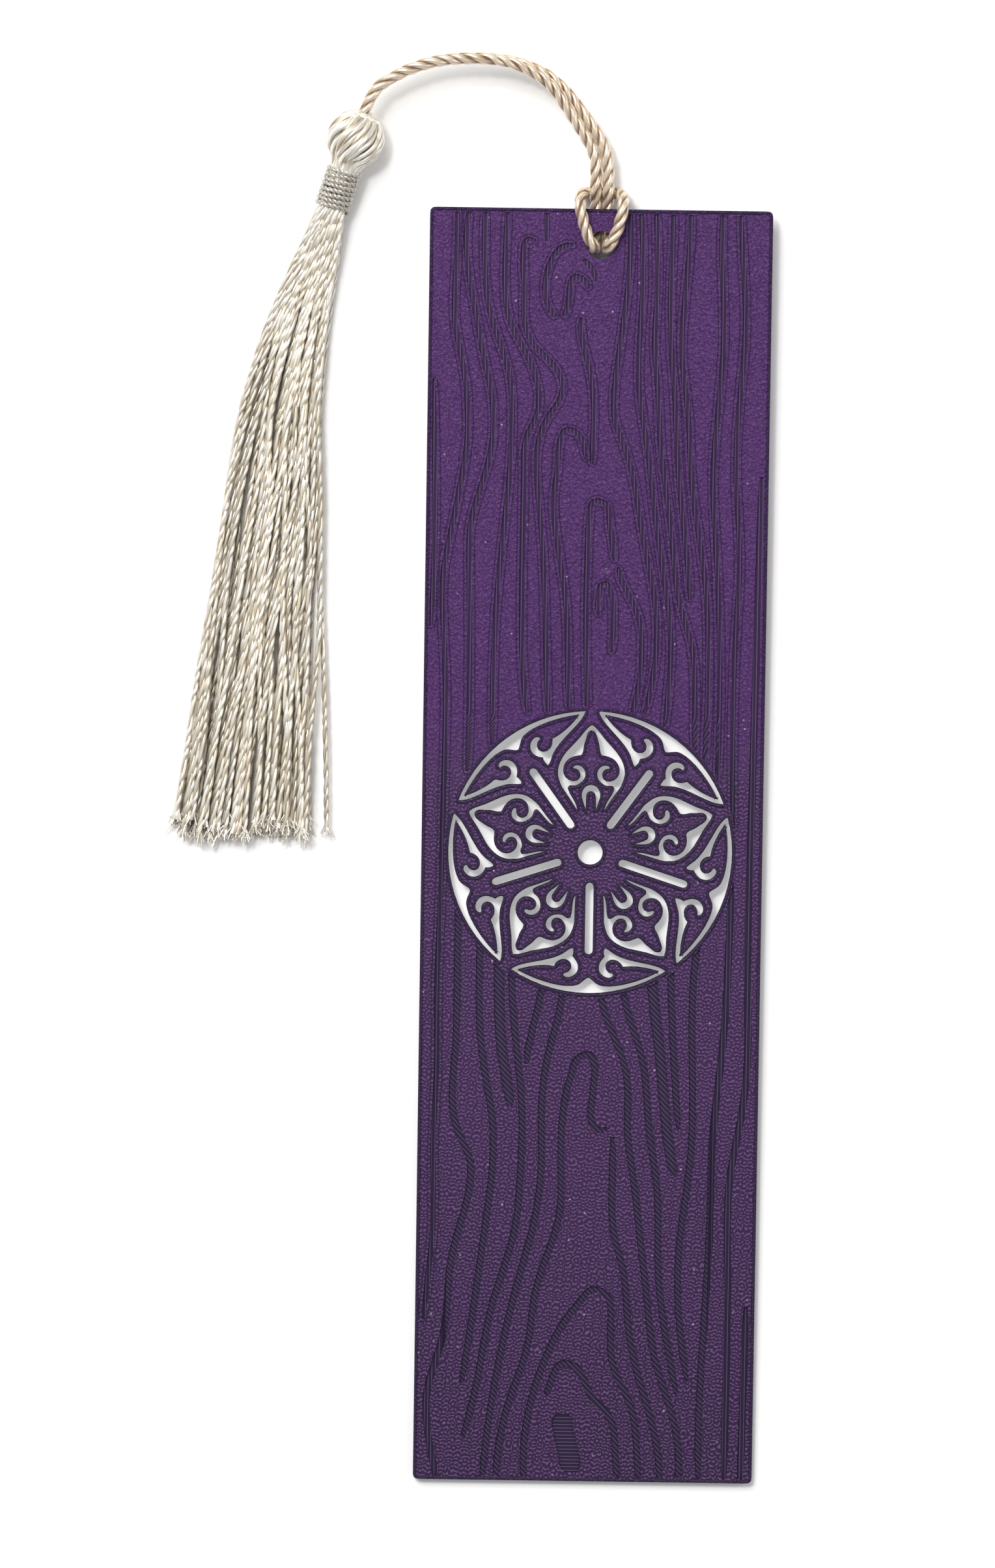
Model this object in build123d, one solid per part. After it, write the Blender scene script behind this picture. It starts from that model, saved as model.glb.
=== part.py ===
from build123d import *
from build123d.topology import SkipClean
import os
from math import atan2, cos, degrees, hypot, pi, radians, sin, sqrt, tan

# A printed bookmark that lies on a table, with a looped cord and a tassel.
# Frame: millimetres, +Z up, z = 0 is the table, origin under the middle of the plate,
# +Y from the plate's foot to the end that carries the cord.

# Plate
plate_width = 40.0
plate_length = 150.0
plate_thickness = 1.2
corner_radius = 0.5
cord_hole_radius = 1.65
cord_hole_inset = 4.2  # from the top edge to the hole's centre
page_margin = 3.5  # from the hole's centre down to where the page zone of the back begins

# Pierced rosette
rosette_radius = 16.7
rosette_x = -0.2
rosette_y = -0.4
lobe_count = 5
hub_bore_radius = 1.5
slot_start = 3.5
slot_end = 12.1
slot_width = 1.0

# Wood-grain grooves in the front
groove_depth = 0.3
groove_rim = 0.5  # plain margin along every edge
fine_groove = 0.62
broad_groove = 0.85

# Cord
cord_diameter = 1.4
cord_gap = 0.04  # least space kept between strands of cord
swivel_gap = 0.12  # running space between the hitch and the free legs
bend_gap = 0.1  # running space at the cord's crown and round the stems in the tassel's head
head_gap = 0.25  # from the free legs' ends to the tassel's head

# Tassel
head_radius = 3.45
neck_radius = 1.6
knot_radius = 1.55
knot_play = 0.2
binding_start = 3.75  # along the tassel from the head's centre
binding_turns = 5
binding_pitch = 0.95
binding_thread = 0.5
binding_gap = 0.03  # from the neck's threads to the binding
skirt_top = 7.3  # along the tassel, where the skirt's own threads begin
skirt_grip = 1.6  # length of them held in the neck
strands_per_layer = 13
strand_width = 0.84

cord_radius = cord_diameter / 2
leg_offset = cord_radius + cord_gap
top_edge = plate_length / 2
hole_y = top_edge - cord_hole_inset

os.makedirs("parts", exist_ok=True)


def curve(points):
    """One smooth edge through the points."""
    if len(points) == 2:
        return Line(*points)
    return Spline(*points)


def mirrored_outline(half, bridge=None):
    """A closed face from smooth stretches on the right, their mirror image, and an arc between."""
    left = [[(-x, y) for x, y in reversed(stretch)] for stretch in reversed(half)]
    edges = [curve(stretch) for stretch in half]
    if bridge:
        edges.append(ThreePointArc(half[-1][-1], bridge, left[0][0]))
    edges += [curve(stretch) for stretch in left]
    return make_face(edges)


# Rosette openings, drawn for a rosette of this radius with the lobe's or the spandrel's axis up.
drawn_radius = 16.7
lobe_opening = [
    [(0, 15.1), (0.6, 14.6), (1.3, 13.7), (2.4, 12.5), (3.3, 11.4), (3.85, 10.2), (3.95, 9.2),
     (3.75, 8.4), (3.4, 7.6), (2.9, 6.9), (2.2, 5.85), (1.58, 4.9)],
    [(1.58, 4.9), (1.9, 6.0), (2.45, 6.9), (2.75, 7.5)],
    [(2.75, 7.5), (2.5, 7.8), (1.9, 7.8), (1.3, 8.1), (0.8, 8.65), (0.66, 9.3), (0.9, 9.95), (1.5, 10.3),
     (2.2, 10.1)],
    [(2.2, 10.1), (2.15, 9.8)],
    [(2.15, 9.8), (1.5, 9.6), (1.28, 9.1), (1.45, 8.65), (1.9, 8.42), (2.5, 8.5), (3.05, 8.9),
     (3.3, 9.6), (3.2, 10.2), (2.75, 10.85), (2.0, 11.25), (1.2, 11.4)],
    [(1.2, 11.4), (1.0, 11.8), (0.9, 12.6), (0.68, 13.3), (0.5, 13.95), (0, 14.35)],
]
tongue_opening = [
    [(0, 8.0), (0.7, 7.75), (1.1, 7.0), (0.95, 6.0), (0.58, 4.9)],
    [(0.58, 4.9), (0.55, 6.5)],
    [(0.55, 6.5), (0.4, 6.98), (0, 7.15)],
]
spandrel_opening = [
    [(0, 14.7), (0.5, 15.05), (1.1, 15.55), (1.9, 15.75), (3.1, 15.72), (4.7, 15.4), (6.2, 14.92),
     (8.3, 13.98)],
    [(8.3, 13.98), (7.1, 13.68), (5.75, 13.48), (4.05, 13.55)],
    [(4.05, 13.55), (3.6, 12.95), (3.0, 12.72), (2.4, 12.85), (2.02, 13.4), (2.25, 14.0), (2.95, 14.2)],
    [(2.95, 14.2), (3.0, 14.55)],
    [(3.0, 14.55), (2.4, 14.85), (1.65, 14.55), (1.3, 14.1), (1.2, 13.4), (1.45, 12.75), (1.9, 12.3)],
    [(1.9, 12.3), (1.75, 11.8), (1.85, 11.2)],
    [(1.85, 11.2), (2.2, 11.35), (2.9, 11.85), (3.9, 12.35), (5.15, 12.7), (6.6, 13.0), (8.1, 13.35),
     (9.2, 13.9)],
]


def rosette_openings():
    """Every opening of the pierced rosette, about its own centre."""
    size = rosette_radius / drawn_radius

    def sized(half):
        return [[(x * size, y * size) for x, y in stretch] for stretch in half]

    spandrel = sized(spandrel_opening)
    tip_x, tip_y = spandrel[-1][-1]
    reach = rosette_radius / hypot(tip_x, tip_y)
    spandrel[-1][-1] = (tip_x * reach, tip_y * reach)
    lobe_faces = [mirrored_outline(sized(lobe_opening)), mirrored_outline(sized(tongue_opening))]
    slot_length = slot_end - slot_start
    slot = Pos(0, (slot_start + slot_end) / 2) * Rot(0, 0, 90) * SlotOverall(slot_length, slot_width)
    between_faces = [mirrored_outline(spandrel, (0, rosette_radius)), slot.face()]
    faces = [Circle(hub_bore_radius).face()]
    for lobe in range(lobe_count):
        turn = 360 * lobe / lobe_count
        faces += [Rot(0, 0, turn) * face for face in lobe_faces]
        faces += [Rot(0, 0, turn + 180 / lobe_count) * face for face in between_faces]
    return faces


# Wood grain, as centrelines on a plate of this width and length.
grain_width = 40.0
grain_length = 150.0
upper_grain = [
    [(-17.0, 76), (-17.0, 66), (-16.8, 60.5), (-16.0, 57), (-15.4, 52.5), (-15.4, 47), (-16.1, 42.5),
     (-16.9, 38), (-17.9, 32.5), (-17.9, 27), (-17.5, 20), (-17.5, 8), (-17.7, -6), (-18.0, -17.5),
     (-17.9, -26), (-18.2, -36), (-18.1, -45), (-18.6, -51), (-19.1, -56)],
    [(-19.4, 55), (-19.2, 49), (-19.0, 42), (-19.0, 34), (-19.3, 26)],
    [(-15.2, 76), (-15.2, 66), (-14.6, 63), (-13.4, 57), (-12.6, 53.5), (-12.3, 50.5), (-12.5, 47),
     (-13.2, 44), (-14.8, 38), (-14.9, 33), (-14.7, 21), (-14.8, 9)],
    [(-13.6, 76), (-13.6, 69), (-13.4, 66), (-12.9, 63), (-11.2, 58), (-10.4, 55), (-10.1, 51),
     (-10.2, 46), (-10.9, 37.5), (-11.7, 28), (-11.9, 21), (-11.9, 12)],
    [(-11.0, 76), (-11.2, 69), (-11.1, 65), (-10.6, 62), (-8.5, 58), (-7.5, 55.5), (-7.0, 53),
     (-7.4, 50.5), (-8.4, 48.3), (-8.7, 45), (-8.7, 33), (-8.6, 24), (-8.3, 19.5), (-7.8, 16)],
    [(-7.6, 71.2), (-8.2, 72), (-8.8, 71), (-8.9, 66), (-8.8, 61.5), (-7.6, 59), (-5.6, 57),
     (-4.6, 55.5), (-4.3, 53.5), (-5.4, 51.5), (-6.5, 49.5), (-7.1, 47), (-6.9, 41), (-6.3, 35),
     (-5.9, 27), (-5.4, 16)],
    [(-6.3, 76), (-6.4, 73.5), (-6.3, 71.2)],
    [(-3.2, 70.8), (-4.9, 70.3), (-6.0, 68.5), (-6.5, 66), (-6.1, 63.7), (-5.2, 62.4)],
    [(-1.5, 65.7), (-2.2, 66.9), (-3.1, 67.1), (-3.6, 65.8), (-3.8, 63.7), (-4.3, 62.5)],
    [(-2.1, 69.1), (-1.1, 68.2), (-0.5, 66.6)],
    [(-2.2, 62.4), (-2.0, 59.5), (-1.4, 57.3), (-0.8, 54.5), (-0.6, 49), (-0.7, 45.2)],
    [(-1.4, 45.8), (-1.7, 47.4), (-2.4, 48.8), (-3.4, 49.4), (-4.3, 48.4), (-4.7, 45), (-5.1, 41.5),
     (-4.7, 36.5), (-4.1, 33), (-3.5, 29), (-3.2, 22), (-2.8, 16)],
    [(2.1, 34), (1.8, 36.5), (1.4, 39), (0.7, 40.9), (-0.2, 41), (-0.9, 39.4), (-1.05, 36), (-1.15, 31),
     (-0.95, 21), (-0.8, 16)],
    [(0.45, 27.5), (0.35, 30), (0.9, 31.5), (1.7, 30.4), (2.05, 28), (2.1, 25.6), (1.9, 23.2)],
    [(3.2, 76), (3.4, 69), (3.1, 65), (2.3, 58.5), (1.75, 53.5), (2.0, 50), (2.8, 48), (4.2, 43.5),
     (5.2, 38), (6.2, 33), (6.9, 29.5), (7.2, 24), (6.8, 20), (5.9, 16)],
    [(2.6, 33.2), (3.1, 31.4), (4.1, 29.5), (5.0, 27.5), (5.5, 24), (5.3, 20), (4.4, 16)],
    [(4.5, 76), (4.9, 70), (4.9, 64), (4.6, 58), (4.8, 53), (5.8, 47), (6.5, 41.5), (7.4, 35.5),
     (8.3, 30), (8.9, 23.5), (8.7, 19), (8.3, 14)],
    [(6.3, 76), (6.6, 70), (6.6, 64), (6.4, 59.5), (6.8, 55), (7.3, 47.5), (8.3, 40.5), (9.2, 33),
     (10.1, 28), (11.1, 25), (11.7, 21), (11.9, 11)],
    [(8.4, 76), (8.3, 69), (8.2, 63), (8.4, 58.5), (8.9, 53), (9.3, 46), (9.9, 40), (10.6, 34.5),
     (11.0, 29.5)],
    [(10.4, 76), (10.3, 70), (9.9, 65), (9.7, 57), (10.4, 52), (10.9, 44.5), (11.7, 38.5), (12.8, 31.5),
     (13.2, 26), (13.3, 18), (13.0, 9)],
    [(14.2, 76), (14.3, 66), (14.5, 61), (14.0, 52), (13.5, 43), (13.9, 37), (14.5, 27), (14.7, 20),
     (14.5, 7)],
    [(16.2, 76), (16.7, 68), (17.0, 62), (16.4, 52), (16.2, 44), (16.8, 34), (16.5, 26), (16.3, 15),
     (16.6, 2)],
]
lower_grain = [
    [(19.2, 44), (19.1, 34), (18.9, 20), (18.7, 5), (18.6, -17), (18.7, -25), (17.9, -32.5),
     (16.95, -38), (16.8, -50), (16.8, -66), (16.7, -76)],
    [(-15.6, -2), (-15.6, -17), (-15.7, -24), (-15.9, -31), (-15.2, -33.7), (-14.2, -35.7), (-13.7, -38),
     (-14.4, -43), (-15.9, -49), (-16.4, -56), (-17.4, -60.5), (-18.4, -64), (-18.4, -69), (-16.9, -76)],
    [(-13.0, -8), (-13.0, -17), (-12.8, -22), (-12.1, -27), (-11.3, -31.5), (-11.1, -37), (-11.8, -44),
     (-12.8, -52), (-13.9, -60), (-14.4, -63.5)],
    [(-8.8, -10), (-8.8, -21), (-8.2, -26), (-7.8, -30), (-7.9, -40), (-8.3, -44.5), (-9.4, -49),
     (-10.8, -53.5), (-12.2, -61), (-14.3, -70)],
    [(-5.5, -14), (-6.1, -19), (-7.0, -23), (-7.3, -25.5)],
    [(-3.2, -14), (-3.6, -19.5), (-4.9, -25), (-5.4, -29), (-5.4, -38), (-6.1, -44), (-8.0, -51.5),
     (-9.6, -58.5), (-10.9, -66), (-11.9, -76)],
    [(2.4, -32.9), (1.3, -33.3), (0.5, -32.4), (0.4, -30.5), (0.7, -27), (0.4, -24.7), (-0.5, -24),
     (-1.6, -25.5), (-2.5, -28.5), (-3.0, -32), (-3.0, -40), (-3.3, -44), (-4.7, -48.5), (-6.1, -54),
     (-6.6, -58.5), (-8.6, -65), (-9.8, -70), (-10.1, -76)],
    [(2.95, -34), (3.0, -41), (3.3, -45.5), (4.5, -50), (5.1, -56), (6.3, -62), (8.0, -67.5), (9.0, -76)],
    [(1.4, -14), (1.9, -19.5), (2.8, -21.8), (4.3, -25.7), (4.7, -29), (4.7, -33), (5.5, -39),
     (6.4, -46), (7.3, -53), (8.4, -60.5), (10.2, -66), (11.0, -76)],
    [(4.0, -14), (4.6, -19.5), (6.4, -25), (6.9, -29), (7.3, -33.5), (8.3, -40), (8.6, -50), (9.5, -57),
     (11.0, -64.5)],
    [(9.4, -11), (9.7, -19), (10.2, -27), (10.7, -33)],
    [(13.0, -9), (12.1, -18), (12.3, -28), (12.1, -37.5), (11.1, -46), (10.9, -50), (11.3, -57),
     (12.2, -63)],
    [(16.4, -2), (16.2, -15), (15.6, -25), (14.8, -33), (14.6, -43), (14.4, -50), (13.9, -60),
     (13.8, -76)],
    [(19.0, -54), (18.9, -62), (18.6, -76)],
    [(6.7, -76), (6.2, -69), (5.4, -65.4), (3.7, -62), (3.1, -57), (2.7, -53.2), (1.6, -51.9),
     (0.2, -52.8), (-2.4, -56), (-4.6, -60.5), (-6.3, -66), (-6.8, -76)],
    [(-4.5, -64.8), (-3.6, -62.4), (-2.5, -61), (-1.4, -61.2), (1.0, -64.9), (2.9, -67), (3.8, -70.5),
     (4.4, -76)],
]
wide_grain = [
    [(-10.7, -10), (-10.6, -19), (-10.2, -24), (-9.6, -27.5), (-9.1, -30.5)],
    [(7.2, -13), (7.7, -19), (8.5, -25), (9.0, -30), (10.3, -38.5)],
    [(-2.5, -67), (-2.3, -69), (-1.6, -72), (-1.4, -74)],
]
wide_factors = [1.5, 1.5, 2.9]


def grain_groove(points, width):
    """The face of one groove: a band about its centreline, drawn in at both ends."""
    across = plate_width / grain_width
    along = plate_length / grain_length
    path = Spline(*[(x * across, y * along) for x, y in points])
    steps = 2 * len(points)
    left, right = [], []
    for step in range(steps + 1):
        u = step / steps
        at = path @ u
        heading = path % u
        half = width / 2 * (0.55 if step in (0, steps) else 1)
        side = Vector(-heading.Y, heading.X) * half
        left.append(at + side)
        right.append(at - side)
    ends = [Line(left[-1], right[-1]), Line(right[0], left[0])]
    return make_face([Spline(*left), ends[0], Spline(*right[::-1]), ends[1]])


def build_plate():
    """The plate about the middle of its back face: a pierced floor, and the lands between the grooves."""
    outline = RectangleRounded(plate_width, plate_length, corner_radius)
    openings = [Pos(rosette_x, rosette_y) * face for face in rosette_openings()]
    openings.append(Pos(0, hole_y) * Circle(cord_hole_radius).face())
    pierced = outline - openings

    field = Rectangle(plate_width - 2 * groove_rim, plate_length - 2 * groove_rim)
    field = field - Pos(rosette_x, rosette_y) * Circle(rosette_radius + groove_rim)
    field = field - Pos(0, hole_y) * Circle(cord_hole_radius + groove_rim)
    grooves = [grain_groove(line, fine_groove) for line in upper_grain]
    grooves += [grain_groove(line, broad_groove) for line in lower_grain]
    grooves += [grain_groove(line, broad_groove * k) for line, k in zip(wide_grain, wide_factors)]
    lands = pierced - (field & (Sketch() + grooves))

    # The back is two faces: the page zone, and the zone above it where the cord lies.
    floor = plate_thickness - groove_depth
    page_top = hole_y - page_margin
    page_length = page_top + plate_length / 2
    page_half = Pos(0, page_top - page_length / 2) * Rectangle(plate_width, page_length)
    with SkipClean():
        body = extrude(pierced & page_half, floor) + extrude(pierced - page_half, floor)
        body = body + extrude(Pos(0, 0, floor) * lands, groove_depth)
    return body.solid()


def tube(points, radii, radius):
    """A round cord along straight runs and tangent arcs; prints its arcs and its volume."""
    path = FilletPolyline(*points, radius=radii)
    start = Plane(path @ 0, z_dir=path % 0)
    solid = sweep(start * Circle(radius), path).solid()
    ratio = solid.volume / (pi * radius**2 * path.length)
    print("arcs", [round(r, 2) for r in radii])
    print("length", round(path.length, 2), "volume ratio", round(ratio, 4))
    return solid


def full_radii(points):
    """The largest arc that each corner's two runs allow."""
    points = [Vector(*p) for p in points]
    radii = []
    for before, corner, after in zip(points, points[1:], points[2:]):
        turn = radians((corner - before).get_angle(after - corner))
        shorter = min((corner - before).length, (after - corner).length)
        radii.append(0.45 * shorter / tan(turn / 2))
    return radii


# Lark's-head hitch, in the plate's own frame. The legs come up behind the bar above the hole,
# turn through the hole to the front, spread over the top edge, and join as a bight under the legs.
back_z = -(cord_radius + cord_gap)
front_z = plate_thickness + cord_radius + cord_gap
turn_radius = (front_z - back_z) / 2 - 0.01
turn_y = hole_y - 0.38
throat_y = top_edge + 4.6
throat_z = 0.72
bight_y = top_edge + 1.95
bight_z = -1.38


def hitch_side(side):
    """Half of the hitch, from the throat to the end of its arm, with its arcs."""
    x = side * leg_offset
    points = [
        (x, throat_y, throat_z),
        (x, top_edge + 2.3, throat_z),
        (x, top_edge + 0.42, back_z),
        (x, turn_y, back_z),
        (x, turn_y, front_z),
        (side * 1.85, turn_y + 1.9, front_z),
        (side * 2.6, top_edge + 0.5, front_z + 0.15),
        (side * 2.4, top_edge + 1.75, 0.3),
        (side * 1.9, bight_y, bight_z),
    ]
    return points, [1.5, 1.5, turn_radius, turn_radius, 2.0, 1.5, 2.0, 1.4]


def build_hitch():
    right, radii = hitch_side(1)
    left, _ = hitch_side(-1)
    return tube(right + left[::-1], radii + radii[::-1], cord_radius)


# The bookmark rests on its foot and on the hitch's bight, so the plate leans by this angle.
lean = degrees(atan2(cord_radius - bight_z, bight_y + plate_length / 2))
settle_y = (plate_thickness * sin(radians(lean)) + plate_length * (1 - cos(radians(lean)))) / 2
resting = Pos(0, settle_y - plate_length / 2, 0) * Rot(lean, 0, 0) * Pos(0, plate_length / 2, 0)

plate = resting * build_plate()
cord_hitch = resting * build_hitch()

# Tassel axis, from the head's centre down to the foot of the neck.
head_center = Vector(-28.9, 82.8, head_radius)
neck_foot = Vector(-31.5, 74.85, 2.45)
tassel_down = (neck_foot - head_center).normalized()
tassel_across = Vector(-tassel_down.Y, tassel_down.X, 0).normalized()
tassel = Plane(head_center, x_dir=tassel_across, z_dir=tassel_down)

# Free legs of the cord. They leave the hitch side by side and lie one over the other at the crown.
throat = (resting * Pos(0, throat_y, throat_z)).position
crown = Vector(-14.5, 92.4, 4.2)
entry = head_center - tassel_down * (head_radius + cord_radius + head_gap)
leg_start = throat + Vector(0, swivel_gap, 0)
lower_route = [
    (leg_start, 0),
    (Vector(0, 81.7, leg_start.Z), 0),
    (Vector(-3.1, 86.2, 3.1), 30),
    (Vector(-5.9, 89.9, 3.6), 58),
    (Vector(-10.2, 92.0, 4.0), 80),
    (crown, 90),
]
upper_route = [
    Vector(-19.2, 92.1, 4.3),
    Vector(-22.6, 91.0, 4.3),
    Vector(-24.6, 90.0, 4.25),
    entry - tassel_down * 1.5,
    entry,
]


def leg_lower(side):
    """One leg from the hitch to the crown, with a ball end on the bend's axis."""
    middle = [point for point, _ in lower_route]
    points = []
    for i, (point, roll) in enumerate(lower_route):
        ahead = middle[min(i + 1, len(middle) - 1)] - middle[max(i - 1, 0)]
        if i == 0:
            ahead = middle[1] - middle[0]
        across = Vector(ahead.Y, -ahead.X, 0).normalized()
        lift = Vector(0, 0, -1)
        offset = across * cos(radians(roll)) + lift * sin(radians(roll))
        points.append(point + offset * (side * leg_offset))
    body = tube(points, full_radii(points), cord_radius)
    return (body + Pos(points[-1]) * Sphere(cord_radius)).solid()


def leg_upper(side):
    """One leg from the crown to the head, with a ball end on the head's axis."""
    lift = Vector(0, 0, -side * leg_offset)
    ahead = (upper_route[0] - crown).normalized()
    points = [crown + ahead * (cord_radius + bend_gap)] + upper_route
    points = [point + lift for point in points]
    body = tube(points, full_radii(points), cord_radius)
    return (body + Pos(points[-1]) * Sphere(cord_radius)).solid()


def build_knot():
    """The tied ends inside the head, with the two cords that come out at its top."""
    knot = Sphere(knot_radius)
    for side in (1, -1):
        stem = Cylinder(cord_radius, head_radius, align=(Align.CENTER, Align.CENTER, Align.MAX))
        knot = knot + Pos(0, side * leg_offset, 0) * stem
    return tassel.location * knot.solid()


def build_head():
    """Threads folded over the knot: a ball that draws in to the neck."""
    shoulder = sqrt(head_radius**2 - (neck_radius + 0.25) ** 2)
    profile = [
        ThreePointArc((0, -head_radius), (head_radius, 0), (neck_radius + 0.25, shoulder)),
        Line((neck_radius + 0.25, shoulder), (neck_radius, shoulder + 0.5)),
        Line((neck_radius, shoulder + 0.5), (neck_radius, skirt_top)),
        Line((neck_radius, skirt_top), (0, skirt_top)),
        Line((0, skirt_top), (0, -head_radius)),
    ]
    # The profile is drawn in the plane across the tassel, with its length along the tassel's axis.
    section = Plane.XZ.offset(0) * make_face(profile)
    ball = revolve(section, Axis.Z)
    ball = ball - Sphere(knot_radius + knot_play)
    upward = (Align.CENTER, Align.CENTER, Align.MAX)
    for side in (1, -1):
        passage = Cylinder(cord_radius + bend_gap, 2 * head_radius, align=upward)
        ball = ball - Pos(0, side * leg_offset, 0) * passage
    return tassel.location * ball.solid()


def biarc(start, start_way, end, end_way):
    """Two arcs that join smoothly from one point and direction to another."""
    chord = end - start
    both = start_way + end_way
    a = 2 * (start_way.dot(end_way) - 1)
    b = -2 * chord.dot(both)
    c = chord.dot(chord)
    reach = (-b - sqrt(b * b - 4 * a * c)) / (2 * a) if abs(a) > 1e-9 else -c / b
    first = start + start_way * reach
    last = end - end_way * reach
    joint = (first + last) * 0.5
    return [TangentArc(start, joint, tangent=start_way), TangentArc(joint, end, tangent=last - first)]


def build_binding():
    """The thread wound round the neck, as one unbroken tube with straight ends."""
    thread_radius = binding_thread / 2
    radius = neck_radius + binding_gap + thread_radius
    quarters = 4 * binding_turns
    rise = binding_pitch / (2 * pi)

    def at(angle):
        return Vector(radius * cos(angle), radius * sin(angle), binding_start + rise * angle)

    def way(angle):
        return Vector(-radius * sin(angle), radius * cos(angle), rise).normalized()

    angles = [pi / 2 * q for q in range(quarters + 1)]
    edges = [Line(at(0) - way(0) * binding_thread, at(0))]
    for a, b in zip(angles, angles[1:]):
        edges += biarc(at(a), way(a), at(b), way(b))
    edges.append(Line(at(angles[-1]), at(angles[-1]) + way(angles[-1]) * binding_thread))
    path = Wire(edges)
    body = sweep(Plane(path @ 0, z_dir=path % 0) * Circle(thread_radius), path).solid()
    points = [at(pi / 18 * k) for k in range(36 * binding_turns + 1)]
    least = min((p - q).length for k, p in enumerate(points) for q in points[k + 18:]) - binding_thread
    print("binding least gap", round(least, 3), "volume ratio",
          round(body.volume / (pi * thread_radius**2 * path.length), 4))
    return tassel.location * body


# Skirt: the fan's middle, half-width and middle height at stations along the table.
fan = [
    (70.5, -32.8, 2.5, 2.0),
    (62.0, -35.4, 3.8, 1.6),
    (50.0, -37.5, 4.9, 1.4),
    (34.0, -38.2, 6.3, 1.4),
    (17.0, -39.3, 7.9, 1.4),
    (1.7, -40.3, 9.4, 1.4),
]
layer_names = ["lower", "middle", "upper"]
layer_pitch = strand_width + 0.06
fan_uneven = 2.0  # how far the tips lie before or behind one another


def square_strand(stations):
    """A flat-sided strand through square sections, each given as (y, x, z, half its width)."""
    rings = []
    for y, x, z, h in stations:
        rings.append([(x - h, y, z - h), (x + h, y, z - h), (x + h, y, z + h), (x - h, y, z + h)])
    outlines = [rings[0], rings[-1]]
    for near, far in zip(rings, rings[1:]):
        for i in range(4):
            j = (i + 1) % 4
            outlines.append([near[i], near[j], far[j], far[i]])
    return Solid(Shell([Face(Wire.make_polygon(corners)) for corners in outlines]))


def build_skirt(layer):
    """One layer of the skirt's threads, with the slice of the neck that holds them."""
    third = 2 * neck_radius / 3
    level = (layer - 1) * third
    slab = Pos(0, level, skirt_top + skirt_grip / 2) * Box(3 * neck_radius, third, skirt_grip)
    neck = Pos(0, 0, skirt_top + skirt_grip / 2) * Cylinder(neck_radius, skirt_grip)
    body = tassel.location * (neck & slab).solid()
    edge_level = abs(level) + 0.12
    root_half = sqrt(neck_radius**2 - edge_level**2) - 0.3
    strands = []
    for i in range(strands_per_layer):
        share = 2 * i / (strands_per_layer - 1) - 1
        share = share * 0.96 + (0.04 if layer == 1 else 0)
        root = tassel.location * Pos(share * root_half, level, skirt_top + skirt_grip / 2)
        spacing = 2 * root_half / (strands_per_layer - 1)
        stations = [(root.position.Y, root.position.X, root.position.Z, 0.38 * spacing)]
        for y, x, half, z in fan:
            spacing = 2 * half / (strands_per_layer - 1)
            height = z + (layer - 1) * layer_pitch
            stations.append((y, x + share * half, height, min(strand_width / 2, 0.4 * spacing)))
        y, x, z, size = stations[-1]
        stations[-1] = (y + fan_uneven * sin(1.7 * i + 2.1 * layer), x, z, size)
        strands.append(square_strand(stations))
    return body.fuse(*strands).solid()


nodes = {
    "plate": plate,
    "cord_hitch": cord_hitch,
    "cord_leg_left_lower": leg_lower(-1),
    "cord_leg_right_lower": leg_lower(1),
    "cord_leg_left_upper": leg_upper(-1),
    "cord_leg_right_upper": leg_upper(1),
    "cord_knot": build_knot(),
    "head_threads": build_head(),
    "neck_binding": build_binding(),
}
for layer, name in enumerate(layer_names):
    nodes[f"skirt_threads_{name}"] = build_skirt(layer)

for name, solid in nodes.items():
    solid.label = name
    export_step(solid, f"parts/{name}.step")
print("lean", round(lean, 4), "throat", throat, "crown", crown, "entry", entry)
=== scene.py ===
"""A printed bookmark with a looped cord and a tassel, lying on a white table."""

import math

import bmesh
import bpy
import numpy as np
from mathutils import Matrix, Vector


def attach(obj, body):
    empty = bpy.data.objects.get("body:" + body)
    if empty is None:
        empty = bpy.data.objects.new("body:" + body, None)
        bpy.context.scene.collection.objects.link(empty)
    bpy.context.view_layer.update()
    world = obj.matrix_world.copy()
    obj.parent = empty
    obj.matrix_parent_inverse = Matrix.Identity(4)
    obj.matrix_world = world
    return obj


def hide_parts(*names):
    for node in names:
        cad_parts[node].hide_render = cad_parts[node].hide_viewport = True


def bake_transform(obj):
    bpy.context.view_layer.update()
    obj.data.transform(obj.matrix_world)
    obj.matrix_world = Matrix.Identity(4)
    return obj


bl_info = {
    "name": "Printed Bookmark",
    "version": (1, 0, 0),
    "blender": (4, 5, 0),
    "location": "View3D > Sidebar > Bookmark",
    "description": "Gives the bookmark's frame its printed plastic, silk cord and tassel",
    "category": "Object",
}

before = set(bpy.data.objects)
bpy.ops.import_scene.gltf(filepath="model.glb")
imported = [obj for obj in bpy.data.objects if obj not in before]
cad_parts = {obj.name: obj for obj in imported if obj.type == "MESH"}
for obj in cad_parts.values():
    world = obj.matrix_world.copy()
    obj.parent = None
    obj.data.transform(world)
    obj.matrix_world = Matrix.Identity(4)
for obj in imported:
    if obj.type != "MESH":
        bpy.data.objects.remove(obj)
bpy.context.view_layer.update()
MM = 0.001
TAU = 2 * math.pi


# Node trees written as expressions


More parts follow.
